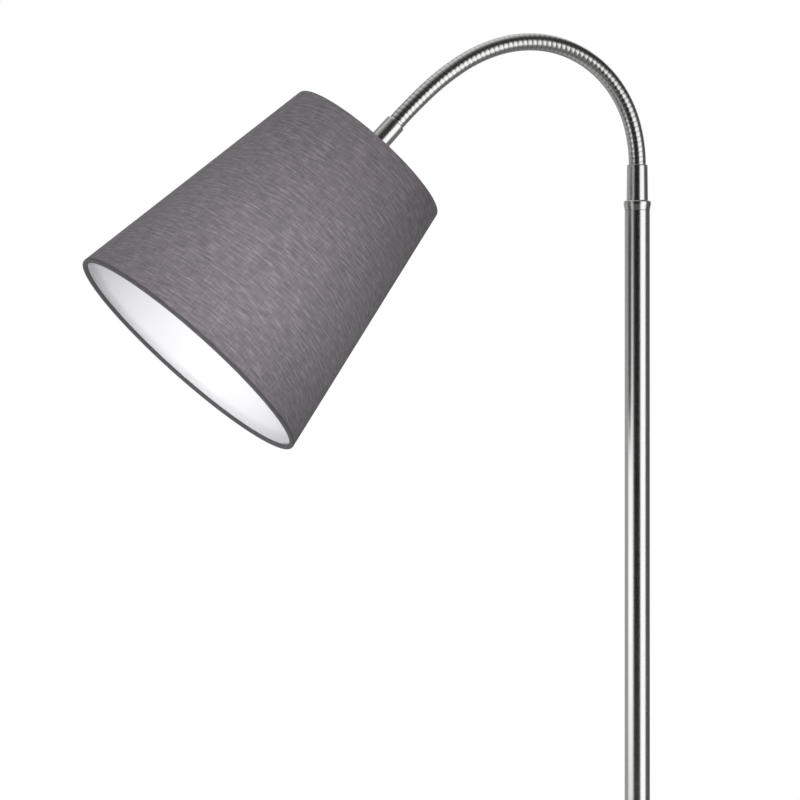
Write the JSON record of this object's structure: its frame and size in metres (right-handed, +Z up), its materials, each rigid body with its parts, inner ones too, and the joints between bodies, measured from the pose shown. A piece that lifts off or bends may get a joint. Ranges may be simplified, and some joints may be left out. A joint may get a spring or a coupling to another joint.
{
  "type": "gooseneck reading floor lamp",
  "caption": "Floor lamp with a round weighted base, a slim pole, a ribbed bendable neck and a tilted cone fabric shade.",
  "frame": {"origin": "middle of the base's underside, on the floor", "axes": "+Z up along the pole; the neck arches in the XZ plane and the shade hangs towards -X"},
  "size_m": [0.5447, 0.24, 1.4123],
  "materials": {
    "satin_nickel": "satin nickel plate",
    "zinc_steel": "zinc plated",
    "spring_steel": "drawn spring wire",
    "cast_weight": "rough, painted black",
    "foam_pad": "dense black foam",
    "black_plastic": "moulded",
    "ceramic": "unglazed",
    "brass": "plain",
    "opal_glass": "opal",
    "grey_fabric": "woven, slubbed",
    "white_lining": "smooth white",
    "white_wire": "white epoxy"
  },
  "bodies": {
    "stand": {"floor_pad": "foam_pad", "base_weight": "cast_weight", "base_cover": "satin_nickel", "cord_bushing": "black_plastic", "base_washer": "zinc_steel", "base_nut": "zinc_steel", "base_stud": "zinc_steel", "pole_foot_collar": "satin_nickel", "pole_lower": "satin_nickel", "pole_foot_plug": "zinc_steel", "pole_joint_plug": "zinc_steel", "pole_joint_socket": "zinc_steel", "pole_upper": "satin_nickel", "pole_top_plug": "zinc_steel", "pole_top_collar": "satin_nickel", "neck_nipple": "zinc_steel", "ferrule_lower": "satin_nickel", "gooseneck_casing": "satin_nickel", "neck_coil_foot": "spring_steel"},
    "neck_01": {"neck_coil_01": "spring_steel"},
    "neck_02": {"neck_coil_02": "spring_steel"},
    "neck_03": {"neck_coil_03": "spring_steel"},
    "neck_04": {"neck_coil_04": "spring_steel"},
    "neck_05": {"neck_coil_05": "spring_steel"},
    "neck_06": {"neck_coil_06": "spring_steel"},
    "neck_07": {"neck_coil_07": "spring_steel"},
    "neck_08": {"neck_coil_08": "spring_steel"},
    "neck_09": {"neck_coil_09": "spring_steel"},
    "neck_10": {"neck_coil_10": "spring_steel"},
    "head": {"neck_coil_head": "spring_steel", "ferrule_upper": "satin_nickel", "holder_nipple": "zinc_steel", "lampholder_cap": "black_plastic", "lampholder_shell": "black_plastic", "lampholder_insert": "ceramic", "screw_shell": "brass", "centre_contact": "brass", "shade_ring_nut": "black_plastic", "bulb_cap": "brass", "bulb_contact": "zinc_steel", "bulb_globe": "opal_glass", "shade_fabric": "grey_fabric", "shade_lining": "white_lining", "shade_mouth_wire": "white_wire", "shade_frame": "white_wire"}
  },
  "joints": [
    {"name": "neck_lower_bend", "type": "hinge", "parent": "stand", "child": "neck_01", "pos_m": [-0.00061, 0, 1.33147], "axis": [0, -1, 0], "range_deg": [-17, 6], "deforming": ["gooseneck_casing"]},
    {"name": "neck_swing", "type": "hinge", "parent": "neck_01", "child": "neck_02", "pos_m": [-0.00551, 0, 1.3472], "axis": [-0.9547, 0, -0.2975], "range_deg": [-18, 18], "deforming": ["gooseneck_casing"]},
    {"name": "neck_lower_bend_2", "type": "hinge", "parent": "neck_02", "child": "neck_03", "pos_m": [-0.01042, 0, 1.36293], "axis": [0, -1, 0], "range_deg": [-22, 7.77]},
    {"name": "neck_lower_bend_3", "type": "hinge", "parent": "neck_03", "child": "neck_04", "pos_m": [-0.03121, 0, 1.38854], "axis": [0, -1, 0], "range_deg": [-23.5, 8.3]},
    {"name": "neck_lower_bend_4", "type": "hinge", "parent": "neck_04", "child": "neck_05", "pos_m": [-0.06049, 0, 1.40376], "axis": [0, -1, 0], "range_deg": [-24, 8.47]},
    {"name": "neck_swing_2", "type": "hinge", "parent": "neck_05", "child": "neck_06", "pos_m": [-0.07695, 0, 1.40482], "axis": [-0.0643, 0, -0.9979], "range_deg": [-18, 18]},
    {"name": "neck_upper_bend", "type": "hinge", "parent": "neck_06", "child": "neck_07", "pos_m": [-0.09341, 0, 1.40588], "axis": [0, -1, 0], "range_deg": [-21, 4], "deforming": ["gooseneck_casing"]},
    {"name": "neck_upper_bend_2", "type": "hinge", "parent": "neck_07", "child": "neck_08", "pos_m": [-0.12489, 0, 1.39614], "axis": [0, -1, 0], "range_deg": [-16, 3.05]},
    {"name": "neck_upper_bend_3", "type": "hinge", "parent": "neck_08", "child": "neck_09", "pos_m": [-0.15246, 0, 1.37817], "axis": [0, -1, 0], "range_deg": [-9.5, 1.81]},
    {"name": "neck_swing_3", "type": "hinge", "parent": "neck_09", "child": "neck_10", "pos_m": [-0.16455, 0, 1.36702], "axis": [0.6779, 0, -0.7351], "range_deg": [-18, 18]},
    {"name": "neck_upper_bend_4", "type": "hinge", "parent": "neck_10", "child": "head", "pos_m": [-0.17664, 0, 1.35587], "axis": [0, -1, 0], "range_deg": [-4.4, 0.84]}
  ],
  "couplings": [
    {"joint": "neck_lower_bend_2", "follows": "neck_lower_bend", "ratio": 1.2941},
    {"joint": "neck_lower_bend_3", "follows": "neck_lower_bend", "ratio": 1.3824},
    {"joint": "neck_lower_bend_4", "follows": "neck_lower_bend", "ratio": 1.4118},
    {"joint": "neck_swing_2", "follows": "neck_swing", "ratio": 1},
    {"joint": "neck_upper_bend_2", "follows": "neck_upper_bend", "ratio": 0.76191},
    {"joint": "neck_upper_bend_3", "follows": "neck_upper_bend", "ratio": 0.45238},
    {"joint": "neck_swing_3", "follows": "neck_swing", "ratio": 1},
    {"joint": "neck_upper_bend_4", "follows": "neck_upper_bend", "ratio": 0.20952}
  ]
}
